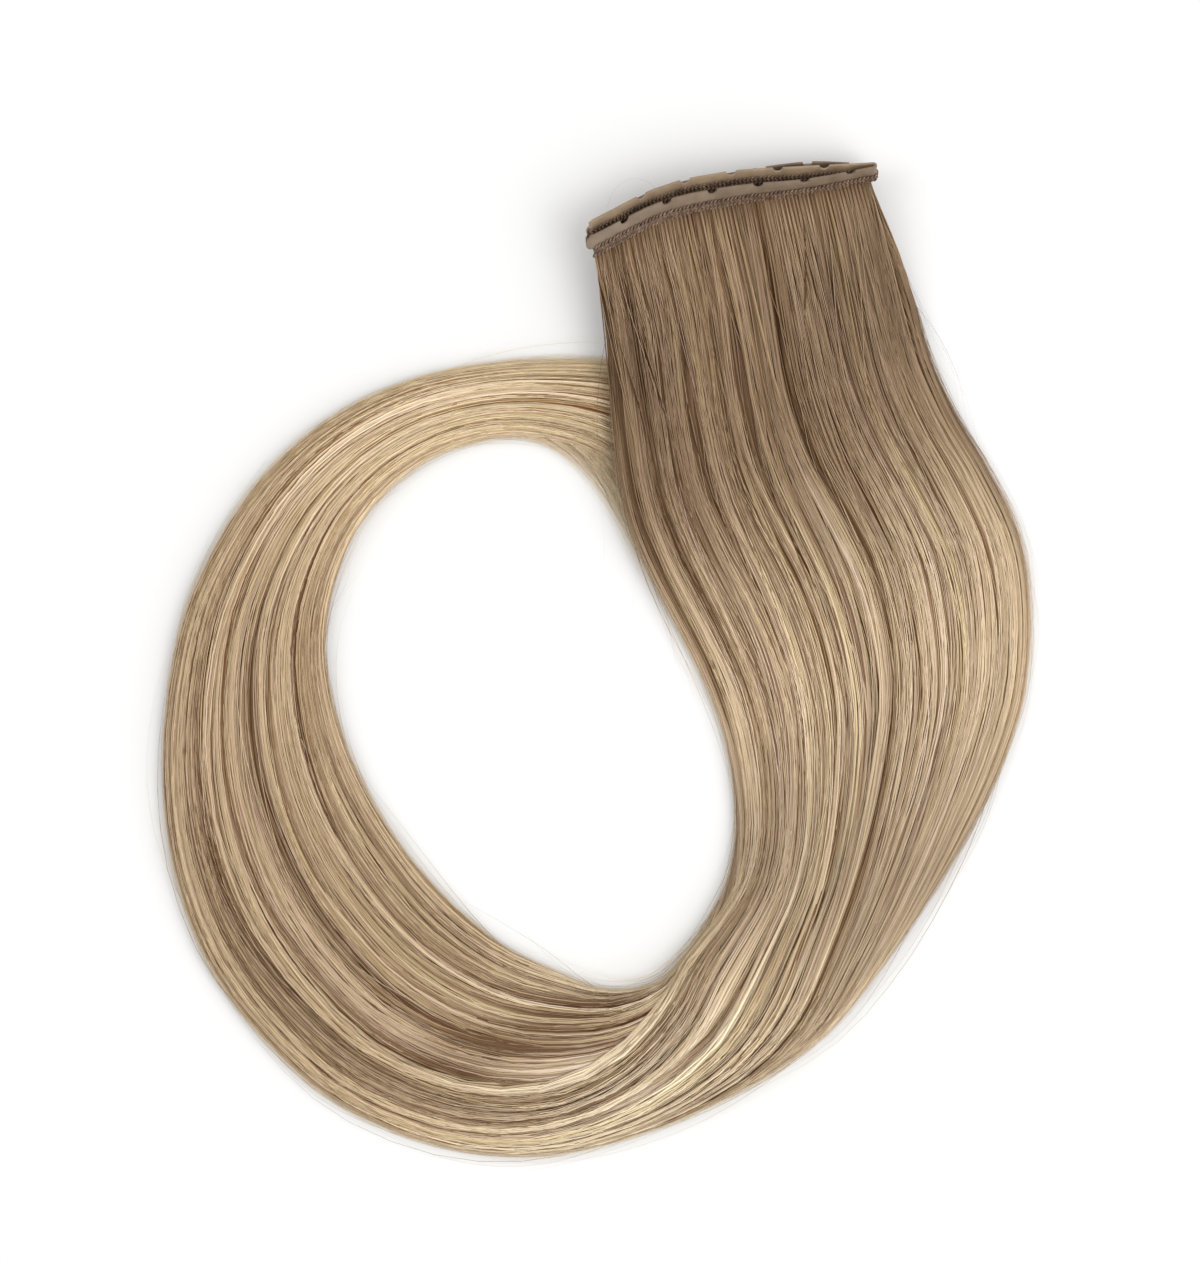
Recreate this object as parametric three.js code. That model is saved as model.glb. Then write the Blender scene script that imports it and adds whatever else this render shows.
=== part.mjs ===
import * as THREE from 'three';

// Butterfly weft hair extension, lying on a table. Lengths are millimetres and +Z is up.
// One notched polymer strip is folded into four layers. A sewn band runs along its lower edge,
// and the hair of each layer is one long lock that curls round the open loop.

// Driving dimensions.
const stripHeight = 3.8;
const stripThick = 0.6;
const bandHeight = 2.3;
const bandThick = 1.0;
const notchRadius = 1.3;
const notchPitch = 12.1;
const firstNotches = [11.2, 12.3, 9.9, 12.3];
const endShare = 0.025;
const rootThick = 0.9;
const gap = 0.3;
const seamGap = 0.4;
const foldGap = 0.9;
const turningGap = 0.04;
const layerCuts = [1, 0.35, 0, -0.35, -1];
const crownPower = 3.5;

// Cross-sections of the hair from the weft to the tips. A section has an inner and an outer end in
// plan, a height above the table at both ends, a thickness, and the angle its layers have turned.
const routeColumns = ['innerX', 'innerY', 'outerX', 'outerY', 'innerBase', 'outerBase', 'thick', 'turn'];
const route = [
  [1.4, 103.1, 74.5, 122.3, 7.0, 1.5, 7.6, 0],
  [2.7, 86.7, 78.9, 107.5, 7.2, 1.2, 7.2, 0],
  [3.5, 71.1, 83.3, 91.9, 7.2, 0.8, 6.6, 0],
  [5.1, 55.0, 87.5, 77.6, 6.8, 0.4, 6.2, 0],
  [7.9, 38.6, 94.0, 63.3, 5.6, 0.1, 6.0, 0],
  [12.9, 24.8, 102.6, 48.5, 3.4, 0, 6.0, 0],
  [19.9, 11.3, 110.6, 30.8, 1.0, 0, 6.2, 0],
  [27.2, -2.5, 113.0, 11.3, 0, 0, 6.6, 0],
  [32.7, -16.0, 111.6, -8.2, 0, 0, 7.2, 0],
  [36.0, -29.5, 106.0, -26.4, 0, 0, 8.0, 0],
  [37.2, -43.3, 97.4, -44.6, 0, 0, 9.0, 2],
  [35.4, -56.3, 86.0, -63.6, 0, 0, 10.2, 8],
  [30.4, -67.5, 73.0, -82.3, 0, 0, 11.4, 18],
  [23.8, -77.1, 58.6, -98.7, 0, 0, 12.4, 34],
  [15.7, -84.9, 38.9, -111.7, 0, 0, 12.8, 54],
  [2.7, -86.7, 14.2, -122.6, 0, 0, 12.4, 72],
  [-10.5, -82.0, -13.1, -129.1, 0, 0, 11.4, 83],
  [-23.5, -75.8, -40.4, -126.8, 0, 0, 10.6, 88],
  [-35.8, -66.4, -67.0, -115.6, 0, 0, 10.2, 90],
  [-46.2, -55.5, -86.7, -98.2, 0, 0, 10.0, 90],
  [-55.0, -43.3, -101.0, -78.4, 0, 0, 10.0, 90],
  [-62.0, -31.1, -109.1, -56.3, 0, 0, 10.0, 90],
  [-67.0, -18.6, -112.2, -34.2, 0, 0, 10.0, 90],
  [-70.1, -5.6, -111.2, -11.6, 0, 0, 10.0, 90],
  [-70.9, 6.9, -106.5, 11.6, 0, 0, 9.8, 90],
  [-68.5, 20.4, -97.6, 30.8, 0, 0, 9.4, 90],
  [-63.1, 33.4, -85.2, 48.2, 0, 0, 9.0, 90],
  [-54.0, 44.9, -69.0, 62.0, 0, 0, 8.6, 90],
  [-41.7, 53.4, -49.5, 71.6, 0, 0, 8.2, 90],
  [-27.4, 57.9, -28.7, 76.1, 0, 0, 7.6, 90],
  [-13.1, 57.3, -9.2, 77.4, 0, 0, 6.8, 90],
  [1.2, 51.9, 8.5, 76.8, 0, 0, 5.6, 90],
  [11.6, 41.2, 25.1, 73.5, 0, 0, 4.0, 90],
  [18.9, 26.7, 40.7, 65.9, 0, 0, 2.2, 90],
];

// The front layer's seam in plan, where strip and band meet, from its left end to its right end.
const seamColumns = ['x', 'y'];
const seam = [
  [-0.6, 105.7],
  [17.4, 114.9],
  [35.8, 119.2],
  [54.2, 121.7],
  [71.4, 125.0],
];

// Each strip layer at those five places: how far its seam lies behind the front one, and its lean
// from lying flat in degrees. Its seam slopes from one height at the left to another at the right.
const layers = [
  { name: 'hair_front', behind: [0, 0, 0, 0, 0], lean: [20, 38, 47, 62, 63], leftZ: 15.2, rightZ: 12.0 },
  { name: 'hair_second', behind: [4.85, 4.5, 4.3, 3.2, 1.3], lean: [46, 47, 52, 55, 63], leftZ: 13.0, rightZ: 10.0 },
  { name: 'hair_third', behind: [4.85, 4.4, 4.1, 4.5, 1.0], lean: [46, 48, 50, 52, 57], leftZ: 10.2, rightZ: 6.8 },
  { name: 'hair_back', behind: [4.5, 4.2, 3.9, 4.3, 0.9], lean: [48, 49, 50, 52, 57], leftZ: 7.4, rightZ: 4.0 },
];
const hairColours = [0x8f7657, 0xa88d67, 0xb59a72, 0xc2a67c];

// Smooth curve through equally spaced values.
function smooth(values, position) {
  const last = values.length - 1;
  const i = Math.min(Math.max(Math.floor(position), 0), last - 1);
  const f = position - i;
  const before = i > 0 ? values[i - 1] : 2 * values[i] - values[i + 1];
  const after = i < last - 1 ? values[i + 2] : 2 * values[i + 1] - values[i];
  const a = 2 * values[i];
  const b = values[i + 1] - before;
  const c = 2 * before - 5 * values[i] + 4 * values[i + 1] - after;
  const d = 3 * values[i] - before - 3 * values[i + 1] + after;
  return (a + b * f + c * f * f + d * f * f * f) / 2;
}

// A table's columns at a place between its rows, by name.
function rowAt(table, columns, position) {
  const row = {};
  columns.forEach((name, i) => {
    row[name] = smooth(table.map((values) => values[i]), position);
  });
  return row;
}

// Closed solid from rings of points: walls between rings, and both end rings closed by a zipper
// from one side of the ring to the other.
function loft(rings) {
  const size = rings[0].length;
  const points = rings.flat();
  const faces = [];
  for (let r = 0; r < rings.length - 1; r += 1) {
    for (let i = 0; i < size; i += 1) {
      const j = (i + 1) % size;
      const a = r * size + i;
      const b = r * size + j;
      const c = a + size;
      const d = b + size;
      faces.push([a, b, d], [a, d, c]);
    }
  }
  [0, rings.length - 1].forEach((r) => {
    const start = r * size;
    const turned = r > 0;
    let low = 0;
    let high = size - 1;
    while (high - low > 1) {
      const first = [start + low, start + high, start + low + 1];
      faces.push(turned ? first.reverse() : first);
      low += 1;
      if (high - low > 1) {
        const second = [start + low, start + high, start + high - 1];
        faces.push(turned ? second.reverse() : second);
        high -= 1;
      }
    }
  });
  let volume = 0;
  faces.forEach(([a, b, c]) => {
    volume += points[a].dot(points[b].clone().cross(points[c])) / 6;
  });
  const index = faces.map((face) => (volume < 0 ? [face[0], face[2], face[1]] : face)).flat();
  const geometry = new THREE.BufferGeometry();
  const places = points.flatMap((point) => point.toArray());
  geometry.setAttribute('position', new THREE.Float32BufferAttribute(places, 3));
  geometry.setIndex(index);
  geometry.computeVertexNormals();
  return geometry;
}

// A strip layer's seam at a share of its length from the left: the point and the lean's direction.
function seamAt(layer, share) {
  const row = rowAt(seam, seamColumns, share * 4);
  const lean = THREE.MathUtils.degToRad(smooth(layers[layer].lean, share * 4));
  const z = layers[layer].leftZ + (layers[layer].rightZ - layers[layer].leftZ) * share;
  return {
    point: new THREE.Vector3(row.x, row.y + smooth(layers[layer].behind, share * 4), z),
    rise: new THREE.Vector3(0, Math.cos(lean), Math.sin(lean)),
    bend: 0,
  };
}

// The folded strip's whole seam: along each layer in turn, with a half-round fold between layers.
// Its two free ends reach a little past the hair.
function foldedSeam() {
  const places = [];
  layers.forEach((layer, k) => {
    const forward = k % 2 === 0;
    const left = k === 0 || k === layers.length - 1 ? -endShare : 0;
    for (let i = 0; i <= 36; i += 1) {
      const part = forward ? i / 36 : 1 - i / 36;
      places.push(seamAt(k, left + (1 - left) * part));
    }
    if (k < layers.length - 1) {
      const end = forward ? 1 : 0;
      const from = seamAt(k, end);
      const to = seamAt(k + 1, end);
      const outward = seamAt(k, end).point.sub(seamAt(k, end === 1 ? 0.98 : 0.02).point).normalize();
      const middle = from.point.clone().add(to.point).divideScalar(2);
      const side = to.point.clone().sub(from.point);
      const radius = side.clone().projectOnPlane(from.rise).length() / 2;
      for (let i = 1; i < 12; i += 1) {
        const angle = (Math.PI * i) / 12;
        const point = middle.clone().addScaledVector(side, -Math.cos(angle) / 2);
        point.addScaledVector(outward, radius * Math.sin(angle));
        places.push({ point, rise: from.rise, bend: Math.sin(angle) });
      }
    }
  });
  let run = 0;
  places.forEach((place, i) => {
    if (i > 0) {
      run += place.point.distanceTo(places[i - 1].point);
    }
    place.run = run;
  });
  return places;
}

const seamPlaces = foldedSeam();
const stripLength = seamPlaces[seamPlaces.length - 1].run;

// Seam point, lean, face direction and share of a fold at a distance along the folded strip.
function placeAt(run) {
  let i = 1;
  while (i < seamPlaces.length - 1 && seamPlaces[i].run < run) {
    i += 1;
  }
  const a = seamPlaces[i - 1];
  const b = seamPlaces[i];
  const f = (run - a.run) / (b.run - a.run);
  const tangent = b.point.clone().sub(a.point).normalize();
  const rise = a.rise.clone().lerp(b.rise, f).normalize();
  const face = tangent.clone().cross(rise).normalize();
  const bend = a.bend + (b.bend - a.bend) * f;
  return { point: a.point.clone().lerp(b.point, f), rise, face, bend };
}

// Middles of the notches along the strip: each layer's row starts at its own distance from the fold.
const notches = [];
firstNotches.forEach((first, k) => {
  const from = seamPlaces[k * 48].run;
  const to = seamPlaces[k * 48 + 36].run;
  for (let run = from + first; run < to - 2 * notchRadius; run += notchPitch) {
    notches.push(run);
  }
});

// Depth of the notched edge at a distance along the strip.
function notchDepth(run) {
  const beside = Math.min(...notches.map((notch) => Math.abs(run - notch)));
  return beside < notchRadius ? Math.sqrt(notchRadius * notchRadius - beside * beside) : 0;
}

// Distances along the strip where its walls are set out: closer in the folds, and round each notch.
function runsAlong(spacing, notched) {
  const start = notched ? 0 : seamPlaces[1].run;
  const runs = [start, stripLength - start];
  for (let run = spacing; run < stripLength - spacing / 2; run += spacing) {
    runs.push(run);
  }
  seamPlaces.forEach((place, i) => {
    if (i % 48 >= 36) {
      runs.push(place.run);
    }
  });
  if (notched) {
    [0.15, 0.5, 1.05, 1.8].forEach((run) => runs.push(run, stripLength - run));
    notches.forEach((run) => {
      [-1, -0.85, -0.45, 0, 0.45, 0.85, 1].forEach((part) => runs.push(run + part * notchRadius));
    });
  }
  const sorted = runs.sort((a, b) => a - b);
  return sorted.filter((run, i) => i === 0 || run - sorted[i - 1] > 0.05);
}

// Solid that follows the folded seam between two heights up the lean.
function followSeam(runs, lowEdge, highEdge, thick) {
  return loft(runs.map((run) => {
    const place = placeAt(run);
    const corner = (height, side) => place.point.clone()
      .addScaledVector(place.rise, height)
      .addScaledVector(place.face, (side * thick) / 2);
    const low = lowEdge(run, place.bend);
    const high = highEdge(run, place.bend);
    return [corner(low, 1), corner(high, 1), corner(high, -1), corner(low, -1)];
  }));
}

// Point of the hair's cross-section: x runs from -1 at the inner end to 1 at the outer end, and y
// is a height inside the unit circle. The underside is flat.
function sectionPoint(row, x, y) {
  const t = (x + 1) / 2;
  const half = Math.sqrt(Math.max(1 - x * x, 1e-6));
  const level = Math.min(Math.max((y / half + 1) / 2, 0), 1);
  const crown = Math.sqrt(Math.max(1 - Math.abs(x) ** crownPower, 0));
  const base = row.innerBase + (row.outerBase - row.innerBase) * t;
  return new THREE.Vector3(
    row.innerX + (row.outerX - row.innerX) * t,
    row.innerY + (row.outerY - row.innerY) * t,
    Math.max(base, 0) + row.thick * crown * level,
  );
}

// Ring of one hair layer in the section at a place on the route: the section is a disc cut into
// four slices by parallel lines, and the lines turn with the route. The slices stand further apart
// where they turn fast.
const ringSteps = 6;
function hairRing(layer, position) {
  const row = rowAt(route, routeColumns, position);
  const turn = THREE.MathUtils.degToRad(row.turn);
  const width = Math.hypot(row.outerX - row.innerX, row.outerY - row.innerY);
  const reach = Math.hypot((Math.cos(turn) * row.thick) / 2, (Math.sin(turn) * width) / 2);
  const ahead = smooth(route.map((values) => values[7]), Math.min(position + 0.5, route.length - 1));
  const behind = smooth(route.map((values) => values[7]), Math.max(position - 0.5, 0));
  const inset = (gap + turningGap * Math.abs(ahead - behind)) / 2 / reach;
  const top = layerCuts[layer] - (layer > 0 ? inset : 0);
  const bottom = layerCuts[layer + 1] + (layer < 3 ? inset : 0);
  const first = layer === 0;
  const last = layer === layers.length - 1;
  const turned = (x, y) => sectionPoint(
    row,
    x * Math.cos(turn) + y * Math.sin(turn),
    y * Math.cos(turn) - x * Math.sin(turn),
  );
  const endHeight = first ? bottom : last ? top : (top + bottom) / 2;
  const endReach = Math.sqrt(1 - endHeight * endHeight);
  const sidePoint = (i, upper) => {
    const part = -Math.cos((Math.PI * i) / ringSteps);
    const cut = upper ? top : bottom;
    const onArc = (first && upper) || (last && !upper);
    const x = part * (onArc ? endReach : Math.sqrt(1 - cut * cut) * 0.98);
    const arc = Math.sqrt(1 - x * x) * (upper ? 1 : -1);
    return turned(x, onArc ? arc : cut);
  };
  const ring = [turned(-endReach, endHeight)];
  for (let i = 1; i < ringSteps; i += 1) {
    ring.push(sidePoint(i, false));
  }
  ring.push(turned(endReach, endHeight));
  for (let i = ringSteps - 1; i > 0; i -= 1) {
    ring.push(sidePoint(i, true));
  }
  return ring;
}

// The same ring where the hair leaves the band.
function rootRing(layer) {
  const rootPoint = (i, side) => {
    const share = (1 - Math.cos((Math.PI * i) / ringSteps)) / 2;
    const place = seamAt(layer, 0.005 + 0.985 * share);
    const out = new THREE.Vector3(0, -place.rise.z, place.rise.y);
    return place.point
      .addScaledVector(place.rise, -bandHeight - gap)
      .addScaledVector(out, (side * rootThick) / 2);
  };
  const ring = [rootPoint(0, 0)];
  for (let i = 1; i < ringSteps; i += 1) {
    ring.push(rootPoint(i, -1));
  }
  ring.push(rootPoint(ringSteps, 0));
  for (let i = ringSteps - 1; i > 0; i -= 1) {
    ring.push(rootPoint(i, 1));
  }
  return ring;
}

// One hair layer: it starts under its own length of band and eases into the common route.
function hairLayer(layer) {
  const root = rootRing(layer);
  const start = hairRing(layer, 0);
  const rings = [];
  let position = 0;
  while (position < route.length - 0.9) {
    const fade = Math.min(position / 1.5, 1);
    const ease = 1 - fade * fade * (3 - 2 * fade);
    const ring = hairRing(layer, position);
    rings.push(ring.map((point, i) => point
      .addScaledVector(root[i], ease)
      .addScaledVector(start[i], -ease)));
    position += position >= 11.5 && position < 15.5 ? 0.25 : 0.5;
  }
  return loft(rings);
}

const weft = new THREE.Group();
weft.name = 'butterfly_weft';

function addPiece(name, geometry, colour, roughness) {
  const material = new THREE.MeshStandardMaterial({ color: colour, roughness });
  const piece = new THREE.Mesh(geometry, material);
  piece.name = name;
  weft.add(piece);
}

// Strip and band stand clear of the seam between them, further in the folds. The strip's two free
// ends are rounded, and the band stops short of them.
const clear = (bend) => (seamGap + (foldGap - seamGap) * bend) / 2;
const endRadius = (stripHeight - seamGap / 2) / 2;
function endCut(run) {
  const left = Math.min(run, stripLength - run);
  const beside = Math.max(endRadius - left, 0);
  return endRadius - Math.sqrt(Math.max(endRadius * endRadius - beside * beside, 0.02));
}
const stripEdge = (run, bend) => clear(bend) + endCut(run);
const notchedEdge = (run) => stripHeight - notchDepth(run) - endCut(run);
const bandTop = (run, bend) => -clear(bend);
const bandEdge = () => -bandHeight;

addPiece('weft_strip', followSeam(runsAlong(6, true), stripEdge, notchedEdge, stripThick), 0x8c7a66, 0.5);
addPiece('stitch_band', followSeam(runsAlong(6, false), bandEdge, bandTop, bandThick), 0x6e523f, 0.8);
layers.forEach((layer, k) => addPiece(layer.name, hairLayer(k), hairColours[k], 0.6));

export default weft;
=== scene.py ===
import bpy
import numpy as np
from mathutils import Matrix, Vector


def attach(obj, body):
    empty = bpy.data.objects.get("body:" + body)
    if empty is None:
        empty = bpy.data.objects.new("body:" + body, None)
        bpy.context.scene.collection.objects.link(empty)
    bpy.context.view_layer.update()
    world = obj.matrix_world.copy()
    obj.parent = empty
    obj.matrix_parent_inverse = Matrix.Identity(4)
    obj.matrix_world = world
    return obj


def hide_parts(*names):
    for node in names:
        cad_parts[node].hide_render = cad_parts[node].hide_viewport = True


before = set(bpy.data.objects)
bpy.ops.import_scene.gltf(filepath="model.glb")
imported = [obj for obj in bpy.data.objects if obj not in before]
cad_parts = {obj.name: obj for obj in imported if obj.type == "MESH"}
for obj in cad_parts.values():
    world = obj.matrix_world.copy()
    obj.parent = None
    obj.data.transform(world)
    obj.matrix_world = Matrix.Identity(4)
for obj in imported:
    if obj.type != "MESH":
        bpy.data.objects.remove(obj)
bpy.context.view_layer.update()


# Notched strip. One thin moulded polymer tape, folded into four layers, with half-round notches
# along its free edge. Its matt face and its back show by turns from layer to layer. The back is painted
# lighter, partly the tape's own back and partly painted light where the front layer shades the layers
# behind.
def copy_of_node(node, name):
    """A node's mesh as a new piece, with its loose triangles merged into one skin."""
    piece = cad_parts[node].copy()
    piece.data = piece.data.copy()
    piece.name = name
    piece.parent = None
    bpy.context.collection.objects.link(piece)
    bpy.ops.object.select_all(action="DESELECT")
    piece.select_set(True)
    bpy.context.view_layer.objects.active = piece
    bpy.ops.object.mode_set(mode="EDIT")
    bpy.ops.mesh.select_all(action="SELECT")
    bpy.ops.mesh.remove_doubles(threshold=1e-6)
    bpy.ops.mesh.tris_convert_to_quads(face_threshold=0.6, shape_threshold=1.0)
    bpy.ops.object.mode_set(mode="OBJECT")
    return piece


def ease_edges(piece, width, segments):
    """Rounds the sharp edges of the active piece."""
    bevel = piece.modifiers.new("eased_edges", "BEVEL")
    bevel.width = width
    bevel.segments = segments
    bevel.limit_method = "ANGLE"
    bevel.angle_limit = 0.9
    bpy.ops.object.modifier_apply(modifier=bevel.name)
    bpy.ops.object.shade_smooth_by_angle(angle=0.7)


# Plan of the front seam in millimetres from its left end to its right end.
seam_plan = np.array([(-0.6, 105.7), (17.4, 114.9), (35.8, 119.2), (54.2, 121.7), (71.4, 125.0)])
# For each layer: distance behind the front seam, lean from lying flat, height at the left and right.
strip_layers = (
    ((0, 0, 0, 0, 0), (20, 38, 47, 62, 63), 15.2, 12.0),
    ((4.85, 4.5, 4.3, 3.2, 1.3), (46, 47, 52, 55, 63), 13.0, 10.0),
    ((4.85, 4.4, 4.1, 4.5, 1.0), (46, 48, 50, 52, 57), 10.2, 6.8),
    ((4.5, 4.2, 3.9, 4.3, 0.9), (48, 49, 50, 52, 57), 7.4, 4.0),
)


def through(rows, at):
    """Smooth curve through equally spaced rows."""
    rows = np.asarray(rows, float)
    i = np.clip(np.floor(at).astype(int), 0, len(rows) - 2)
    f = at - i
    if rows.ndim == 2:
        f = f[..., None]
    ends = np.concatenate([2 * rows[:1] - rows[1:2], rows, 2 * rows[-1:] - rows[-2:-1]])
    a, b, c, d = ends[i], ends[i + 1], ends[i + 2], ends[i + 3]
    square = (2 * a - 5 * b + 4 * c - d) * f ** 2
    cube = (3 * b - a - 3 * c + d) * f ** 3
    return 0.5 * (2 * b + (c - a) * f + square + cube)


def seam_at(layer, share):
    """Point on a layer's seam in millimetres, the way its strip rises, and the way its face looks."""
    share = np.asarray(share, float)
    behind, leans, left, right = strip_layers[layer]
    plan = through(seam_plan, share * 4)
    lean = np.radians(through(leans, share * 4))
    y = plan[..., 1] + through(behind, share * 4)
    point = np.stack([plan[..., 0], y, left + (right - left) * share], -1)
    rise = np.stack([0 * lean, np.cos(lean), np.sin(lean)], -1)
    face = np.stack([0 * lean, -np.sin(lean), np.cos(lean)], -1)
    return point, rise, face


strip = copy_of_node("weft_strip", "notched_strip")
ease_edges(strip, 0.00012, 2)


def effect_group(name, inputs, outputs):
    """A new node group with named sockets, its end nodes and a reader of Object coordinates."""
    group = bpy.data.node_groups.new(name, "ShaderNodeTree")
    for label, kind in inputs:
        group.interface.new_socket(label, in_out="INPUT", socket_type=kind)
    for label, kind in outputs:
        group.interface.new_socket(label, in_out="OUTPUT", socket_type=kind)
    entry = group.nodes.new("NodeGroupInput")
    result = group.nodes.new("NodeGroupOutput")
    place = group.nodes.new("ShaderNodeTexCoord")
    return group, entry, result, place


def object_noise(group, place, scale, detail):
    """A noise over the piece's own Object coordinates."""
    noise = group.nodes.new("ShaderNodeTexNoise")
    noise.inputs["Scale"].default_value = scale
    noise.inputs["Detail"].default_value = detail
    group.links.new(place.outputs["Object"], noise.inputs["Vector"])
    return noise


def two_tints(group, entry, result, noise, low, high):
    """Mixes the group's dark and light tints by a noise between two of its levels."""
    share = group.nodes.new("ShaderNodeMapRange")
    share.inputs["From Min"].default_value = low
    share.inputs["From Max"].default_value = high
    tint = group.nodes.new("ShaderNodeMix")
    tint.data_type = "RGBA"
    group.links.new(noise.outputs["Fac"], share.inputs["Value"])
    group.links.new(share.outputs["Result"], tint.inputs["Factor"])
    group.links.new(entry.outputs["Dark"], tint.inputs["A"])
    group.links.new(entry.outputs["Light"], tint.inputs["B"])
    group.links.new(tint.outputs["Result"], result.inputs["Colour"])


def place_effect(finish, group, values):
    """Puts a node group in a material with its own values and feeds its colour to the shader."""
    finish.use_nodes = True
    effect = finish.node_tree.nodes.new("ShaderNodeGroup")
    effect.node_tree = group
    for label, value in values.items():
        effect.inputs[label].default_value = value
    shader = finish.node_tree.nodes["Principled BSDF"]
    finish.node_tree.links.new(effect.outputs["Colour"], shader.inputs["Base Color"])
    return effect, shader


def raise_skin(finish, effect, shader, strength, distance):
    """Feeds the effect's height to the shader as a bump."""
    skin = finish.node_tree.nodes.new("ShaderNodeBump")
    skin.inputs["Strength"].default_value = strength
    skin.inputs["Distance"].default_value = distance
    finish.node_tree.links.new(effect.outputs["Height"], skin.inputs["Height"])
    finish.node_tree.links.new(skin.outputs["Normal"], shader.inputs["Normal"])


moulded, entry, result, place = effect_group(
    "moulded_tape",
    (
        ("Dark", "NodeSocketColor"), ("Light", "NodeSocketColor"),
        ("Glossy", "NodeSocketFloat"), ("Matt", "NodeSocketFloat"),
    ),
    (("Colour", "NodeSocketColor"), ("Roughness", "NodeSocketFloat"), ("Height", "NodeSocketFloat")),
)
mottle = object_noise(moulded, place, 240.0, 6.0)
two_tints(moulded, entry, result, mottle, 0.3, 0.7)
shine = moulded.nodes.new("ShaderNodeMapRange")
pits = object_noise(moulded, place, 1500.0, 3.0)
moulded.links.new(mottle.outputs["Fac"], shine.inputs["Value"])
moulded.links.new(entry.outputs["Glossy"], shine.inputs["To Min"])
moulded.links.new(entry.outputs["Matt"], shine.inputs["To Max"])
moulded.links.new(shine.outputs["Result"], result.inputs["Roughness"])
moulded.links.new(pits.outputs["Fac"], result.inputs["Height"])

strip_finishes = []
for name, dark, light, glossy, matt in (
    ("strip_face", (0.150, 0.104, 0.067, 1), (0.215, 0.153, 0.103, 1), 0.50, 0.64),
    # The back is painted lighter than the face, partly as painted light on layers the front layer shades.
    ("strip_back_with_painted_light", (0.255, 0.180, 0.112, 1), (0.365, 0.260, 0.168, 1), 0.46, 0.60),
):
    finish = bpy.data.materials.new(name)
    values = {"Dark": dark, "Light": light, "Glossy": glossy, "Matt": matt}
    effect, shader = place_effect(finish, moulded, values)
    finish.node_tree.links.new(effect.outputs["Roughness"], shader.inputs["Roughness"])
    raise_skin(finish, effect, shader, 0.3, 0.0002)
    strip_finishes.append(finish)

strip.data.materials.clear()
for finish in strip_finishes:
    strip.data.materials.append(finish)
shares = np.linspace(0, 1, 400)
distances = []
centres = np.array([polygon.center for polygon in strip.data.polygons]) * 1000
for layer in range(4):
    seam, rise, face = seam_at(layer, shares)
    nearest = np.abs(centres[:, None, 0] - seam[None, :, 0]).argmin(axis=1)
    offset = centres - seam[nearest]
    distances.append(np.abs((offset * face[nearest]).sum(axis=1)))
# The second and last layers take the lighter back, which is partly painted light.
for polygon, layer in zip(strip.data.polygons, np.argmin(distances, axis=0)):
    polygon.material_index = int(layer % 2)
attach(strip, "root")
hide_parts("weft_strip")


# Sewn band. The hair is caught along the strip's lower edge under rows of machine stitches. Slanting
# threads of reddish brown cover both faces of the band and the strip's edge, round the folds too.
band = copy_of_node("stitch_band", "sewn_band")
ease_edges(band, 0.0003, 2)

# Sizes in millimetres. The strip runs on past its left end by the end share, a part of one layer.
# The steps count the points of the seam along a layer and round a fold.
band_height = 2.3
end_share = 0.025
layer_steps = 37
fold_steps = 11
stitch_pitch = 1.05
stitch_shift = 0.07
stitch_rise = 0.05
thread_radii = (0.13, 0.24, 0.27, 0.24, 0.13)
# Rows of stitches on the band: heights of their lower and upper ends from the seam, and their slant.
stitch_rows = ((-2.25, -1.3, 0.8), (-1.2, -0.25, -0.8), (-0.2, 0.7, 0.8))


def folded_seam():
    """The seam of the whole folded strip: its points and the way the strip rises."""
    points = []
    rises = []
    for layer in range(4):
        left = -end_share if layer in (0, 3) else 0.0
        shares = np.linspace(left, 1, layer_steps)
        if layer % 2 == 1:
            shares = shares[::-1]
        seam, rise = seam_at(layer, shares)[:2]
        points.append(seam)
        rises.append(rise)
        if layer < 3:
            end = np.array([1.0 if layer % 2 == 0 else 0.0])
            before = np.array([0.98 if layer % 2 == 0 else 0.02])
            here, rise = seam_at(layer, end)[:2]
            there = seam_at(layer + 1, end)[0]
            outward = here - seam_at(layer, before)[0]
            outward /= np.linalg.norm(outward)
            side = there - here
            radius = np.linalg.norm(side - (side * rise).sum() * rise) / 2
            turn = np.pi * np.arange(1, fold_steps + 1)[:, None] / (fold_steps + 1)
            points.append((here + there) / 2 - side * np.cos(turn) / 2 + outward * radius * np.sin(turn))
            rises.append(np.repeat(rise, fold_steps, axis=0))
    return np.concatenate(points), np.concatenate(rises)


def ring_of(sides):
    """Places of a round section's points across and up, from its top onwards."""
    angle = np.pi / 2 + 2 * np.pi * np.arange(sides) / sides
    return np.stack([np.cos(angle), np.sin(angle)], -1)


def tubes(lines, outward, wide, thick, section):
    """Points, walls and ends of closed tubes along lines, from their half width and half thickness."""
    count, length = lines.shape[:2]
    sides = len(section)
    along = np.gradient(lines, axis=1)
    along /= np.linalg.norm(along, axis=-1, keepdims=True) + 1e-9
    side = np.cross(along, outward)
    side /= np.linalg.norm(side, axis=-1, keepdims=True) + 1e-9
    lift = np.cross(side, along)
    across = (wide[..., None] * section[:, 0])[..., None] * side[:, :, None]
    up = (thick[..., None] * section[:, 1])[..., None] * lift[:, :, None]
    points = lines[:, :, None] + across + up
    ring = np.arange(sides)
    start = np.arange(count)[:, None, None] * length * sides
    low = start + np.arange(length - 1)[None, :, None] * sides + ring
    beside = start + np.arange(length - 1)[None, :, None] * sides + (ring + 1) % sides
    walls = np.stack([low, low + sides, beside + sides, beside], -1).reshape(-1, 4)
    first = (start[:, 0] + ring).reshape(-1, sides)
    final = (start[:, 0] + (length - 1) * sides + ring[::-1]).reshape(-1, sides)
    return points.reshape(-1, 3), walls, np.concatenate([first, final])


path, path_rise = folded_seam()
path_run = np.concatenate([[0], np.cumsum(np.linalg.norm(np.diff(path, axis=0), axis=1))])


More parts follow.
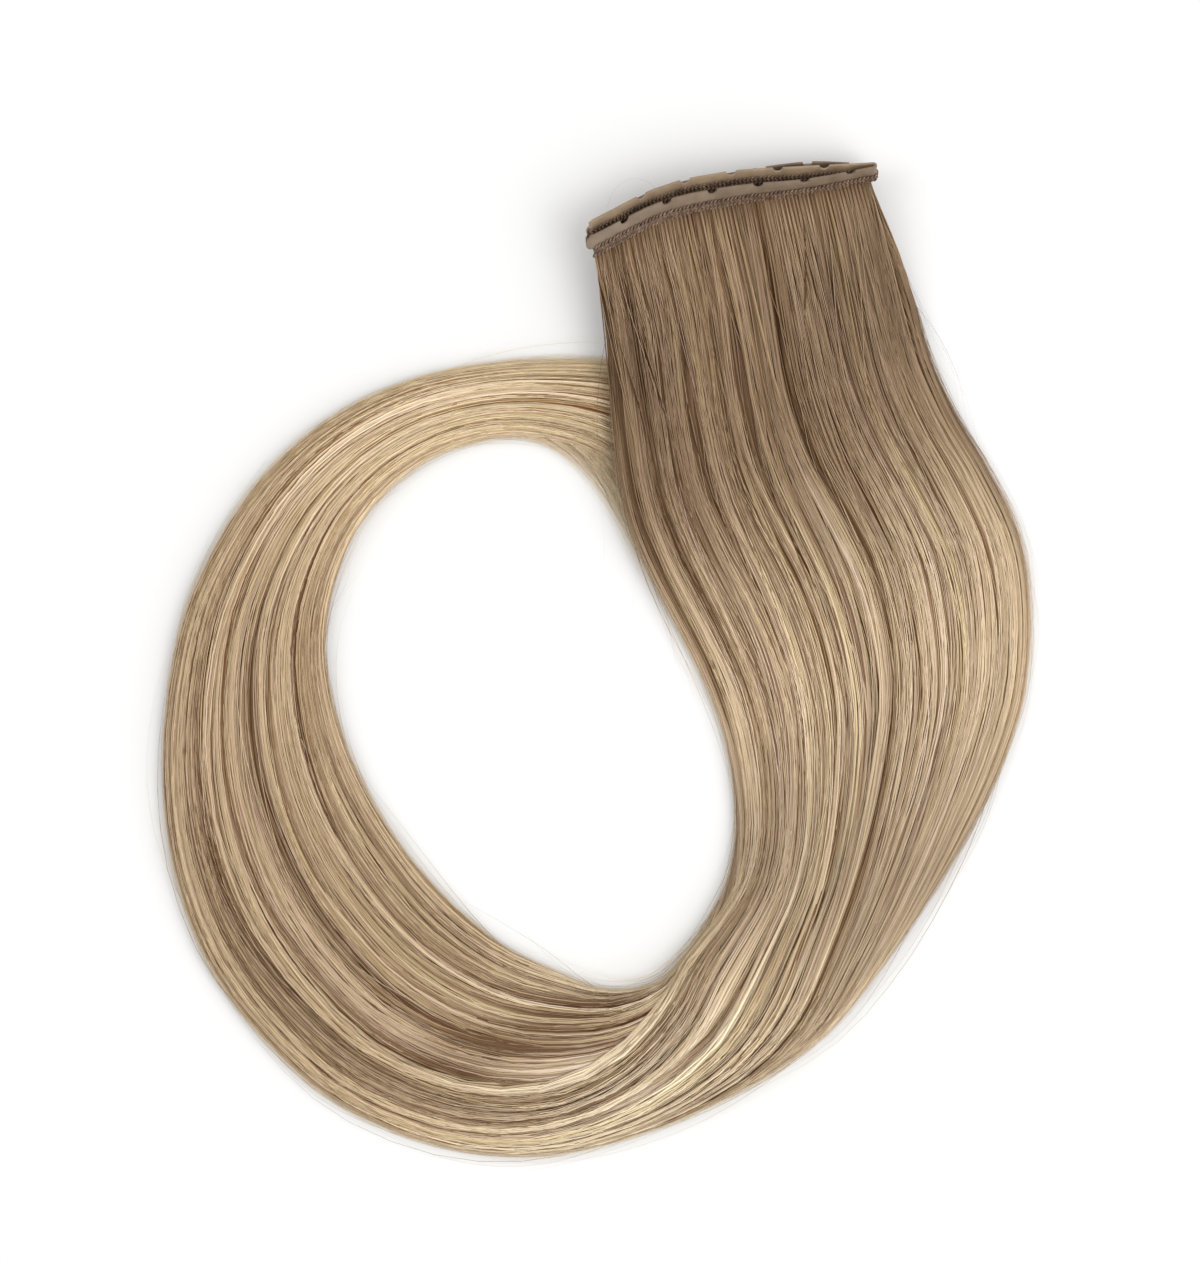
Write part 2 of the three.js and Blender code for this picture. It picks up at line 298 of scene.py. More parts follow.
def along_seam(run):
    """Seam point, rise and face at distances along the folded strip."""
    point = np.stack([np.interp(run, path_run, path[:, i]) for i in range(3)], -1)
    ahead = np.stack([np.interp(run + 0.2, path_run, path[:, i]) for i in range(3)], -1)
    behind = np.stack([np.interp(run - 0.2, path_run, path[:, i]) for i in range(3)], -1)
    rise = np.stack([np.interp(run, path_run, path_rise[:, i]) for i in range(3)], -1)
    face = np.cross(ahead - behind, rise)
    return point, rise, face / np.linalg.norm(face, axis=-1, keepdims=True)


def stitch_row(rng, runs, way, low, high, slant, clear, arch):
    """Lines of one row of slanting stitches on one face of the band."""
    part = np.linspace(0, 1, len(thread_radii))
    start = runs + rng.normal(0, stitch_shift, len(runs))
    point, rise, face = along_seam(start[:, None] + slant * (part - 0.5))
    height = low + (high - low) * part + rng.normal(0, stitch_rise, (len(runs), 1))
    bulge = clear + arch * np.sin(np.pi * part)
    return point + rise * height[..., None] + face * (way * bulge)[:, None]


rng = np.random.default_rng(5)
stitch_runs = np.arange(2.6, path_run[-1] - 2.6, stitch_pitch)
stitch_lines = []
for way in (1, -1):
    for low, high, slant in stitch_rows:
        stitch_lines.append(stitch_row(rng, stitch_runs, way, low, high, slant, 0.5, 0.16))
# Behind the front layer a further row is sewn over the lower edge of the strip itself.
hind_runs = stitch_runs[stitch_runs > path_run[layer_steps + fold_steps]]
for way in (1, -1):
    stitch_lines.append(stitch_row(rng, hind_runs, way, 0.65, 1.55, -0.8, 0.40, 0.14))
stitch_lines = np.concatenate(stitch_lines)
stitch_radius = np.tile(thread_radii, (len(stitch_lines), 1))
upward = np.array([0.0, 0.0, 1.0])
stitch_points, stitch_walls, stitch_ends = tubes(
    stitch_lines, upward, stitch_radius, stitch_radius, ring_of(6),
)
stitch_faces = stitch_walls.tolist() + stitch_ends.tolist()
stitch_mesh = bpy.data.meshes.new("band_stitches")
stitch_mesh.from_pydata((stitch_points * 0.001).tolist(), [], stitch_faces)
stitch_mesh.shade_smooth()
stitches = bpy.data.objects.new("band_stitches", stitch_mesh)
bpy.context.collection.objects.link(stitches)

dyed, entry, result, place = effect_group(
    "dyed_thread",
    (("Dark", "NodeSocketColor"), ("Light", "NodeSocketColor")),
    (("Colour", "NodeSocketColor"), ("Height", "NodeSocketFloat")),
)
two_tints(dyed, entry, result, object_noise(dyed, place, 700.0, 4.0), 0.33, 0.70)
twist = object_noise(dyed, place, 5200.0, 2.0)
dyed.links.new(twist.outputs["Fac"], result.inputs["Height"])

thread_finishes = []
for name, dark, light in (
    ("band_ground", (0.085, 0.048, 0.030, 1), (0.155, 0.091, 0.056, 1)),
    ("sewing_thread", (0.085, 0.047, 0.028, 1), (0.285, 0.183, 0.117, 1)),
):
    finish = bpy.data.materials.new(name)
    effect, shader = place_effect(finish, dyed, {"Dark": dark, "Light": light})
    shader.inputs["Roughness"].default_value = 0.62
    raise_skin(finish, effect, shader, 0.4, 0.0001)
    thread_finishes.append(finish)
band.data.materials.clear()
for piece, finish in zip((band, stitches), thread_finishes):
    piece.data.materials.append(finish)
    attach(piece, "root")
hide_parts("stitch_band")


# Hair locks. Each strip layer carries one long lock of straight hair, ash brown at the root and pale
# blonde at the tips. A lock is an inner body with flat tufts of hair combed over it. The body's dark tone
# is painted shade, standing for the shade deep between the tufts.
hair_route = np.array([
    # inner x and y, outer x and y, inner and outer base, thickness in mm, turn of the layers in degrees
    (1.4, 103.1, 74.5, 122.3, 7.0, 1.5, 7.6, 0),
    (2.7, 86.7, 78.9, 107.5, 7.2, 1.2, 7.2, 0),
    (3.5, 71.1, 83.3, 91.9, 7.2, 0.8, 6.6, 0),
    (5.1, 55.0, 87.5, 77.6, 6.8, 0.4, 6.2, 0),
    (7.9, 38.6, 94.0, 63.3, 5.6, 0.1, 6.0, 0),
    (12.9, 24.8, 102.6, 48.5, 3.4, 0, 6.0, 0),
    (19.9, 11.3, 110.6, 30.8, 1.0, 0, 6.2, 0),
    (27.2, -2.5, 113.0, 11.3, 0, 0, 6.6, 0),
    (32.7, -16.0, 111.6, -8.2, 0, 0, 7.2, 0),
    (36.0, -29.5, 106.0, -26.4, 0, 0, 8.0, 0),
    (37.2, -43.3, 97.4, -44.6, 0, 0, 9.0, 2),
    (35.4, -56.3, 86.0, -63.6, 0, 0, 10.2, 8),
    (30.4, -67.5, 73.0, -82.3, 0, 0, 11.4, 18),
    (23.8, -77.1, 58.6, -98.7, 0, 0, 12.4, 34),
    (15.7, -84.9, 38.9, -111.7, 0, 0, 12.8, 54),
    (2.7, -86.7, 14.2, -122.6, 0, 0, 12.4, 72),
    (-10.5, -82.0, -13.1, -129.1, 0, 0, 11.4, 83),
    (-23.5, -75.8, -40.4, -126.8, 0, 0, 10.6, 88),
    (-35.8, -66.4, -67.0, -115.6, 0, 0, 10.2, 90),
    (-46.2, -55.5, -86.7, -98.2, 0, 0, 10.0, 90),
    (-55.0, -43.3, -101.0, -78.4, 0, 0, 10.0, 90),
    (-62.0, -31.1, -109.1, -56.3, 0, 0, 10.0, 90),
    (-67.0, -18.6, -112.2, -34.2, 0, 0, 10.0, 90),
    (-70.1, -5.6, -111.2, -11.6, 0, 0, 10.0, 90),
    (-70.9, 6.9, -106.5, 11.6, 0, 0, 9.8, 90),
    (-68.5, 20.4, -97.6, 30.8, 0, 0, 9.4, 90),
    (-63.1, 33.4, -85.2, 48.2, 0, 0, 9.0, 90),
    (-54.0, 44.9, -69.0, 62.0, 0, 0, 8.6, 90),
    (-41.7, 53.4, -49.5, 71.6, 0, 0, 8.2, 90),
    (-27.4, 57.9, -28.7, 76.1, 0, 0, 7.6, 90),
    (-13.1, 57.3, -9.2, 77.4, 0, 0, 6.8, 90),
    (1.2, 51.9, 8.5, 76.8, 0, 0, 5.6, 90),
    (11.6, 41.2, 25.1, 73.5, 0, 0, 4.0, 90),
    (18.9, 26.7, 40.7, 65.9, 0, 0, 2.2, 90),
])
tip_row = len(hair_route) - 1
# Levels at which the layers part, tufts along the band, tones from dark 0 to fair 1, least height in mm.
layer_cuts = (1.0, 0.35, 0.0, -0.35, -1.0)
root_tufts = 72
mean_tone = 0.52
tone_drift = 0.02
table_gap = 0.02


def soft_step(value):
    """Eases from 0 to 1."""
    value = np.clip(value, 0, 1)
    return value * value * (3 - 2 * value)


def section_point(at, across, up):
    """Point of the section: across runs from inner -1 to outer 1, up is inside the unit circle."""
    row = through(hair_route, at)
    across = np.clip(across, -0.985, 0.985)
    level = np.clip((up / np.sqrt(1 - across ** 2) + 1) / 2, 0, 1.25)
    crown = np.sqrt(1 - np.abs(across) ** 3.5)
    t = (across / 0.975 + 1) / 2
    base = np.maximum(row[..., 4] + (row[..., 5] - row[..., 4]) * t, 0)
    return np.stack([
        row[..., 0] + (row[..., 2] - row[..., 0]) * t,
        row[..., 1] + (row[..., 3] - row[..., 1]) * t,
        base + 0.25 + (row[..., 6] - 0.5) * crown * level,
    ], -1)


def sunk(at, angle, depth):
    """Section point at an angle round the disc of layers, a depth in millimetres under its surface."""
    row = through(hair_route, at)
    angle = angle - np.radians(row[..., 7])
    width = np.hypot(row[..., 2] - row[..., 0], row[..., 3] - row[..., 1])
    scale = np.hypot(np.cos(angle) * width / 2, np.sin(angle) * row[..., 6] / 2)
    r = 0.975 - depth / scale
    return section_point(at, r * np.cos(angle), r * np.sin(angle))


def from_root(lines, at, start, layer, share, side, reach):
    """Lines that leave their band at a share of its length and ease into the common route."""
    point, rise, face = seam_at(layer, share)
    root = point - rise * (band_height - 0.5) + face * (0.32 * side)[:, None]
    ease = 1 - soft_step(at / reach)
    return lines + ease[..., None] * (root - start)[:, None]


def lock_body(layer):
    """Rings of points along the inner body of one layer, whose dark tone is painted shade."""
    at = np.linspace(0, tip_row - 0.8, 96)
    row = through(hair_route, at)
    turn = np.radians(row[:, 7])[:, None]
    width = np.hypot(row[:, 2] - row[:, 0], row[:, 3] - row[:, 1])[:, None]
    thick = row[:, 6:7]
    inset = 0.4 / np.hypot(np.cos(turn) * thick / 2, np.sin(turn) * width / 2)
    steps = 44
    part = -np.cos(np.pi * np.arange(steps + 1) / steps)
    part = np.concatenate([part, part[-2:0:-1]])
    upper = np.arange(len(part)) > steps
    corner = np.isin(np.arange(len(part)), (0, steps))
    top = layer_cuts[layer] - (inset if layer > 0 else 0)
    low = layer_cuts[layer + 1] + (inset if layer < 3 else 0)
    tip = low if layer == 0 else top if layer == 3 else (top + low) / 2
    outer = (upper & (layer == 0)) | (~upper & (layer == 3))
    flat = np.where(upper, top, low)
    x = part * np.sqrt(1 - np.where(corner | outer, tip, flat) ** 2)
    arc = np.sqrt(1 - x ** 2) * np.where(upper, 1, -1)
    y = np.where(corner, tip, np.where(outer, arc, flat))
    angle = np.arctan2(y, x)
    scale = np.hypot(np.cos(angle - turn) * width / 2, np.sin(angle - turn) * thick / 2)
    under = 1.3 + 1.2 * np.abs(np.cos(angle - turn)) ** 6
    rows = np.repeat(at[:, None], len(part), axis=1)
    under = grooved(rows, angle, angle, under)[1]
    shrink = np.maximum(1 - under / scale, 0.5)
    x = x * shrink
    y = y * np.where(outer | corner, shrink, 1)
    across = x * np.cos(turn) + y * np.sin(turn)
    up = y * np.cos(turn) - x * np.sin(turn)
    lines = section_point(rows, across, up).transpose(1, 0, 2)
    share = np.clip((part + 1) / 2, 0.01, 0.985)
    side = np.where(corner, 0, np.where(upper, 0.7, -0.7))
    lines = from_root(lines, rows.T, lines[:, 0], layer, share, side, 1.5)
    return lines.transpose(1, 0, 2), at


def sway(rng, ids, at, size, short, long):
    """Slow side-to-side wander along the hair, shared by all hairs with the same id."""
    total = ids.max() + 1
    value = 0
    for _ in range(2):
        wave = rng.uniform(short, long, total)[ids]
        phase = rng.uniform(0, 2 * np.pi, total)[ids]
        swing = size * rng.uniform(0.3, 1, total)[ids]
        value = value + swing[:, None] * np.sin(2 * np.pi * at / wave[:, None] + phase[:, None])
    return value


# Where the bundle turns at the foot of the curtain, the front lock swings over the others.
# Rows count along the hair's route, and angles are in degrees round its section.
turn_row = 13.5
turn_length = 1.75
front_swing = 43
swing_lift = 1.3
front_edge = 159.5
side_edge = 180 - front_edge
# Grooves between bundles: angle in degrees, first and last row, half width and depth in mm.
grooves = (
    (121.0, 0.5, 2.6, 0.5, 1.6),
    (100.0, 0.7, 4.0, 0.65, 1.9),
    (82.0, 0.8, 5.0, 0.65, 1.9),
    (60.0, 5.4, 9.6, 0.35, 1.2),
    (105.0, 6.0, 9.2, 0.35, 1.1),
    (132.0, 6.4, 11.2, 0.4, 1.3),
    (143.0, 16.0, 20.6, 1.3, 2.9),
    (185.0, 17.5, 27.0, 0.9, 2.0),
    (121.0, 11.8, 16.8, 0.6, 1.6),
    (106.0, 13.2, 18.0, 0.4, 1.2),
    (236.0, 17.0, 22.0, 0.4, 1.0),
)
# Painted shade and light in bands round the section: angle and reach in degrees, change of tone. The
# darker band lies along the groove at 185 degrees, the lighter one along the loop's inner edge.
painted_shade_and_light_bands = ((186.0, 8.0, -0.13), (264.0, 15.0, 0.13))
# Painted shade and light. Hind locks are painted darker beside the front lock, as the shade it casts
# where it swings over them. The front lock is painted paler along its outer rim below, and all are
# painted paler along the curtain's inner edge, both painted light. Each shade has the plan of its middle
# and its reach in millimetres, and its depth.
hind_shade = (((4.0, -91.5), (-14.2, -95.6), (-30.0, -102.6), (-47.0, -110.0)), 6.5, 0.25)
rim_light = (((16.0, -112.0), (-6.6, -124.5), (-30.0, -125.2), (-52.0, -119.0)), 6.0, -0.20)
edge_light = (((37.0, -18.0), (40.5, -36.0), (39.5, -54.0), (33.5, -70.0), (21.0, -86.0)), 6.5, -0.24)
tuft_section = np.array([(1, 0), (0.5, 0.85), (-0.5, 0.85), (-1, 0), (0, -0.6)])


def swung(at, base):
    """How far the front lock's hairs swing inwards over the other locks."""
    degrees = np.degrees(base)
    edge = np.clip((degrees - 90) / (front_edge - 90), 0, 1) * (degrees <= front_edge)
    return np.radians(front_swing) * edge * np.exp(-((at - turn_row) / turn_length) ** 2)


def grooved(at, base, angle, depth):
    """Angles and depths of hairs that are moved aside and down along the grooves."""
    row = through(hair_route, at)
    half_width = np.hypot(row[..., 2] - row[..., 0], row[..., 3] - row[..., 1]) / 2
    for centre, first, last, half, deep in grooves:
        parted = np.clip(1 - ((2 * at - first - last) / (last - first)) ** 2, 0, 1)
        off = (base - np.radians(centre)) * half_width
        aside = np.sign(off) * min(half, 0.55) * np.exp(-np.abs(off) / (2 * half))
        angle = angle + parted * aside / half_width
        depth = depth + parted * deep * np.exp(-((off / half) ** 2) / 2)
    return angle, depth


def combed(rng, layer, low, high, tufts, stop, spread, rings, astray=0.08):
    """Tufts of one layer between two angles round the section, combed side by side into locks."""
    where = (np.arange(tufts) + rng.uniform(0, 1, tufts)) / tufts
    locks = max(2, tufts // 11)
    edges = np.concatenate([[0], np.cumsum(rng.uniform(0.3, 1.9, locks))])
    edges /= edges[-1]
    lock = np.clip(np.searchsorted(edges, where) - 1, 0, locks - 1)
    middle = (edges[lock] + edges[lock + 1]) / 2
    within = (where - middle) / (edges[lock + 1] - edges[lock]) * 2
    each = np.arange(tufts)
    theta = np.radians(low + (high - low) * where)
    base = theta[:, None]
    stray = np.where(rng.uniform(0, 1, tufts) < astray, 3.5, 1.0)

    at = (stop - spread * rng.beta(1.2, 3.0, tufts))[:, None] * np.linspace(0, 1, rings) ** 1.05
    loose = soft_step((at - 0.3) / 3)
    clump = loose * (0.14 + sway(rng, lock, at, 0.08, 6, 12))
    angle = base + np.radians(high - low) * (middle - where)[:, None] * clump
    angle = angle + loose * sway(rng, lock, at, 0.020, 8, 16)
    angle = angle + loose * sway(rng, each, at, 0.012, 4, 10) * stray[:, None]

    depth = 0.35 * within ** 2 + 0.5 * within ** 6 + rng.uniform(0, 0.5, tufts)
    depth = depth[:, None] * (0.3 + 0.7 * loose)
    depth = depth + loose * (sway(rng, lock, at, 0.14, 6, 12) + sway(rng, each, at, 0.09, 4, 9))
    angle, depth = grooved(at, base, angle, depth)
    if layer == 0:
        swing = swung(at, base)
        angle = angle + swing
        depth = depth - swing_lift * swing
    elif high <= 270:
        depth = depth + 0.75 * np.exp(-((at - turn_row) / turn_length) ** 2)
    depth = np.clip(depth, -1.4, 3.6)

    lines = sunk(at, angle, depth)
    outward = sunk(at, angle, depth - 0.3) - lines + 0.03 * upward
    ends = np.sqrt(1 - layer_cuts[1] ** 2)
    share = np.clip((np.cos(theta) / ends + 1) / 2, 0.004, 0.99)
    if layer in (1, 2):
        spread_in = 0.3 * rng.uniform(0, 1, tufts) ** 1.5
        share = np.where(share < 0.5, 0.004 + spread_in, 0.99 - spread_in)
    aslant = np.where(rng.uniform(0, 1, tufts) < 0.16, 0.040, 0.006)
    share = np.clip(share + rng.normal(0, 1, tufts) * aslant, 0.004, 0.99)
    comb = (np.floor(share * root_tufts) + 0.5) / root_tufts
    share = np.clip(comb + 0.4 * (share - comb), 0.004, 0.99)
    reach = np.where(aslant > 0.01, 3.4, 1.5)[:, None]
    side = np.where(np.sin(theta) >= 0, 1, -1) * rng.uniform(0.1, 1, tufts)
    lines = from_root(lines, at, lines[:, 0], layer, share, side, reach)

    tone = mean_tone + rng.normal(0, 0.11, locks)[lock] + rng.normal(0, 0.06, tufts)
    tone = tone + rng.normal(0, 0.06, locks)[lock // 4]
    # Painted light: the front lock is painted paler, most towards its outer side, where light falls on
    # it.
    if layer == 0:
        tone = tone + 0.05 + 0.10 * np.maximum(np.cos(theta), 0)
    # Painted shade: the hairs along each groove are painted darker, more so the deeper the groove.
    for centre, first, last, half, deep in grooves:
        tone = tone - 0.14 * deep * np.exp(-((np.degrees(theta) - centre) / (2.2 * half)) ** 2)
    for centre, reach, change in painted_shade_and_light_bands:
        tone = tone + change * np.exp(-((np.degrees(theta) - centre) / reach) ** 2)
    # Painted shade: tufts that lie deeper under the surface are painted darker.
    tone = np.clip(tone - 0.16 * depth.mean(axis=1), 0.06, 0.94)
    early = rng.normal(0, 0.014, locks)[lock] + rng.normal(0, 0.010, tufts)
    return lines, outward, at, tone, early


def hair_tubes(lines, outward, at, tone, early, wide, thick, section):
    """Tufts or single hairs. Their map holds the tone, drifting across a tuft, and the place along."""
    count, length = lines.shape[:2]
    sides = len(section)
    taper = np.clip((at[:, -1:] - at) / 4, 0.12, 1) * np.clip(0.6 + at / 2, 0, 1)
    points, walls, ends = tubes(lines, outward, wide[:, None] * taper, thick[:, None] * taper, section)
    drift = tone[:, None] + np.maximum(tone_drift * wide, 0.002)[:, None] * section[:, 0]
    along = np.clip(at / tip_row + early[:, None], 0.004, 0.99)
    shape = (count, length - 1, sides)
    left = np.broadcast_to(drift[:, None], shape)
    right = np.broadcast_to(np.roll(drift, -1, axis=1)[:, None], shape)
    low = np.broadcast_to(along[:, :-1, None], shape)
    high = np.broadcast_to(along[:, 1:, None], shape)
    wall_map = np.stack([left, low, left, high, right, high, right, low], -1)
    step = 0.002 * (np.arange(sides) % 2)
    root = np.stack([drift, along[:, :1] + step], -1)
    tip = np.stack([drift[:, ::-1], along[:, -1:] - step], -1)
    places = np.concatenate([wall_map.ravel(), root.ravel(), tip.ravel()])
    return points, walls, ends, places


def body_mesh(rng, layer):
    """Points, walls, ends and map of one layer's inner body, with low tones as painted shade."""
    rings, at = lock_body(layer)
    length, around = rings.shape[:2]
    ring = np.arange(around)
    low = np.arange(length - 1)[:, None] * around + ring
    beside = np.arange(length - 1)[:, None] * around + (ring + 1) % around
    walls = np.stack([low, beside, beside + around, low + around], -1).reshape(-1, 4)
    ends = np.stack([ring[::-1], (length - 1) * around + ring])
    # Painted shade: the body's tones stay low, for the shade between and under the tufts.
    shade = 0.10 + 0.26 * rng.uniform(0, 1, around)
    left = np.tile(shade, length - 1)
    right = np.tile(np.roll(shade, -1), length - 1)
    start = np.repeat(at[:-1] / tip_row, around)
    stop = np.repeat(at[1:] / tip_row, around)
    wall_map = np.stack([left, start, right, start, right, stop, left, stop], -1)
    root = np.stack([shade[::-1], np.full(around, 0.004)], -1)
    tip = np.stack([shade, np.full(around, 0.97)], -1)
    places = np.concatenate([wall_map.ravel(), root.ravel(), tip.ravel()])
    return rings.reshape(-1, 3), walls, ends, places


hair_finish = bpy.data.materials.new("hair")
hair_finish.use_nodes = True
nodes = hair_finish.node_tree.nodes
links = hair_finish.node_tree.links


def colour_ramp(source, stops):
    """A ramp of colours over a value."""
    ramp = nodes.new("ShaderNodeValToRGB")
    while len(ramp.color_ramp.elements) < len(stops):
        ramp.color_ramp.elements.new(0.5)
    for element, (position, colour) in zip(ramp.color_ramp.elements, stops):
        element.position = position
        element.color = (*colour, 1)
    links.new(source, ramp.inputs["Fac"])
    return ramp.outputs["Color"]


def reckoned(operation, *terms):
    """A value worked out from others. A term is a number or the socket it comes from."""
    reckoning = nodes.new("ShaderNodeMath")
    reckoning.operation = operation
    for socket, term in zip(reckoning.inputs, terms):
        if isinstance(term, float):
            socket.default_value = term
        else:
            links.new(term, socket)
    return reckoning.outputs["Value"]


def mixed(blend, first, second, share):
    """Two colours mixed or multiplied."""
    mix = nodes.new("ShaderNodeMix")
    mix.data_type = "RGBA"
    mix.blend_type = blend
    if isinstance(share, float):
        mix.inputs["Factor"].default_value = share
    else:
        links.new(share, mix.inputs["Factor"])
    links.new(first, mix.inputs["A"])
    links.new(second, mix.inputs["B"])
    return mix.outputs["Result"]


hair_shader = nodes["Principled BSDF"]
hair_shader.inputs["Roughness"].default_value = 0.40
hair_shader.inputs["Specular IOR Level"].default_value = 0.14
hair_shader.inputs["Specular Tint"].default_value = (1.0, 0.84, 0.62, 1)
hair_map = nodes.new("ShaderNodeUVMap")
hair_map.uv_map = "OFBake"
parts = nodes.new("ShaderNodeSeparateXYZ")
links.new(hair_map.outputs["UV"], parts.inputs["Vector"])
# Colours of the darkest and fairest hairs and how far tones differ, from root to tip. Both colours are
# raised at the very root, as painted light against the strip's shadow, and round 0.45, where the bundle
# turns below the curtain, partly as painted light.
deep = colour_ramp(parts.outputs["Y"], (
    (0.00, (0.076, 0.038, 0.017)), (0.05, (0.055, 0.026, 0.011)), (0.125, (0.055, 0.026, 0.011)),
    (0.19, (0.094, 0.042, 0.016)), (0.35, (0.094, 0.042, 0.016)), (0.45, (0.128, 0.078, 0.048)),
    (0.51, (0.118, 0.071, 0.043)), (0.60, (0.084, 0.042, 0.020)), (0.74, (0.097, 0.043, 0.016)),
    (0.88, (0.230, 0.126, 0.045)), (1.00, (0.285, 0.160, 0.060)),
))
fair = colour_ramp(parts.outputs["Y"], (
    (0.00, (0.54, 0.395, 0.261)), (0.025, (0.46, 0.334, 0.217)), (0.06, (0.41, 0.297, 0.192)),
    (0.125, (0.45, 0.327, 0.213)), (0.18, (0.80, 0.650, 0.452)), (0.22, (0.93, 0.762, 0.537)),
    (0.29, (0.70, 0.570, 0.400)), (0.34, (0.64, 0.523, 0.368)), (0.40, (0.91, 0.765, 0.548)),
    (0.45, (1.00, 0.885, 0.664)), (0.485, (0.95, 0.815, 0.595)), (0.52, (0.79, 0.645, 0.447)),
    (0.57, (0.79, 0.632, 0.433)), (0.74, (0.82, 0.658, 0.449)), (0.80, (0.98, 0.824, 0.584)),
    (0.88, (1.00, 0.871, 0.624)), (1.00, (0.98, 0.898, 0.675)),
))
contrast = colour_ramp(parts.outputs["Y"], (
    (0.00, (0.60, 0.60, 0.60)), (0.34, (0.62, 0.62, 0.62)), (0.42, (0.76, 0.76, 0.76)),
    (0.51, (0.72, 0.72, 0.72)), (0.60, (0.68, 0.68, 0.68)), (0.80, (0.78, 0.78, 0.78)),
    (0.90, (0.92, 0.92, 0.92)), (1.00, (0.92, 0.92, 0.92)),
))
fine_place = nodes.new("ShaderNodeMapping")
fine_place.inputs["Scale"].default_value = (120.0, 1.6, 1.0)
fine_lines = nodes.new("ShaderNodeTexNoise")
fine_lines.noise_dimensions = "2D"
fine_lines.inputs["Scale"].default_value = 1.0
fine_lines.inputs["Detail"].default_value = 3.0
fine_lines.inputs["Roughness"].default_value = 0.7
links.new(hair_map.outputs["UV"], fine_place.inputs["Vector"])
links.new(fine_place.outputs["Vector"], fine_lines.inputs["Vector"])
fine_tone = nodes.new("ShaderNodeMapRange")
fine_tone.inputs["From Min"].default_value = 0.2
fine_tone.inputs["From Max"].default_value = 0.8
fine_tone.inputs["To Min"].default_value = -0.94
fine_tone.inputs["To Max"].default_value = -0.06
links.new(fine_lines.outputs["Fac"], fine_tone.inputs["Value"])
# The shade attribute carries painted shade and painted light, lowering or raising the tone.
hair_shade = nodes.new("ShaderNodeAttribute")
hair_shade.attribute_name = "shade"
own_tone = reckoned("ADD", parts.outputs["X"], fine_tone.outputs["Result"])
tone_gain = reckoned("MULTIPLY", contrast, 2.0)
shaded_mean = reckoned("SUBTRACT", mean_tone, hair_shade.outputs["Fac"])
hair_tone = reckoned("MULTIPLY_ADD", own_tone, tone_gain, shaded_mean)
hair_tone.node.use_clamp = True
hair_colour = mixed("MIX", deep, fair, hair_tone)
dye_drift = nodes.new("ShaderNodeTexNoise")
dye_drift.noise_dimensions = "1D"
dye_drift.inputs["Scale"].default_value = 1.0
links.new(reckoned("MULTIPLY", parts.outputs["X"], 16.0), dye_drift.inputs["W"])
warmth = colour_ramp(dye_drift.outputs["Fac"], ((0.34, (1.00, 0.965, 1.07)), (0.66, (1.01, 0.995, 0.85))))
hair_colour = mixed("MULTIPLY", hair_colour, warmth, 1.0)
shade_tint = colour_ramp(hair_tone, ((0.12, (1.05, 0.925, 0.79)), (0.72, (1.0, 1.0, 1.0))))
hair_colour = mixed("MULTIPLY", hair_colour, shade_tint, 1.0)
links.new(hair_colour, hair_shader.inputs["Base Color"])
strand_bump = nodes.new("ShaderNodeBump")
strand_bump.inputs["Strength"].default_value = 0.35
strand_bump.inputs["Distance"].default_value = 0.00012
links.new(fine_lines.outputs["Fac"], strand_bump.inputs["Height"])
links.new(strand_bump.outputs["Normal"], hair_shader.inputs["Normal"])


def hair_piece(name, meshes, shading=()):
    """One piece from the points, walls, ends and maps of several meshes."""
    points = []
    faces = []
    maps = []
    shift = 0
    for mesh_points, walls, ends, places in meshes:
        points.append(mesh_points)
        faces += (walls + shift).tolist() + (ends + shift).tolist()
        maps.append(places)
        shift += len(mesh_points)
    points = np.concatenate(points)
    points[:, 2] = np.maximum(points[:, 2], table_gap)
    mesh = bpy.data.meshes.new(name)
    mesh.from_pydata((points * 0.001).tolist(), [], faces)
    layer = mesh.uv_layers.new(name="OFBake")
    layer.data.foreach_set("uv", np.concatenate(maps).astype(np.float32))
    # Painted shade and light: each shading path darkens or lightens the tone near it, through the shade
    # attribute.
    shade = np.zeros(len(points))
    for plan, reach, depth in shading:
        near = np.zeros(len(points))
        for x, y in through(plan, np.linspace(0, len(plan) - 1, 40)):
            off = np.hypot(points[:, 0] - x, points[:, 1] - y)
            near = np.maximum(near, np.exp(-((off / reach) ** 2)))
        shade = shade + depth * near
    mesh.attributes.new("shade", "FLOAT", "POINT").data.foreach_set("value", shade.astype(np.float32))
    mesh.shade_smooth()
    mesh.materials.append(hair_finish)
    piece = bpy.data.objects.new(name, mesh)
    bpy.context.collection.objects.link(piece)
    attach(piece, "root")
    return piece


# For each lock, two spans of tufts: angles from and to, count, last row, spread of the ends, rings.
short_stop = 19.5
left_edge = 180 + side_edge
right_edge = 360 - side_edge
for layer, node, spans in (
    (0, "hair_front", (
        (side_edge, 90, 150, short_stop, 2.0, 42), (90, front_edge, 170, tip_row, 4.5, 62),
    )),
    (1, "hair_second", (
        (0, side_edge, 54, short_stop, 2.0, 60), (front_edge, 180, 56, tip_row, 4.5, 62),
    )),
    (2, "hair_third", (
        (180, left_edge, 56, tip_row, 4.5, 62), (right_edge, 360, 44, short_stop, 2.0, 60),
    )),
    (3, "hair_back", (
        (left_edge, 270, 180, tip_row, 4.5, 62), (270, right_edge, 80, short_stop, 2.0, 36),
    )),
):
    rng = np.random.default_rng(20 + layer)
    meshes = [body_mesh(rng, layer)]
    for low, high, tufts, stop, spread, rings in spans:
        combing = combed(rng, layer, low, high, tufts, stop, spread, rings)
        wide = rng.uniform(0.28, 0.62, tufts)
        meshes.append(hair_tubes(*combing, wide, rng.uniform(0.14, 0.22, tufts), tuft_section))
    piece = hair_piece(node + "_lock", meshes, (hind_shade if layer > 0 else rim_light, edge_light))
    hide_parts(node)


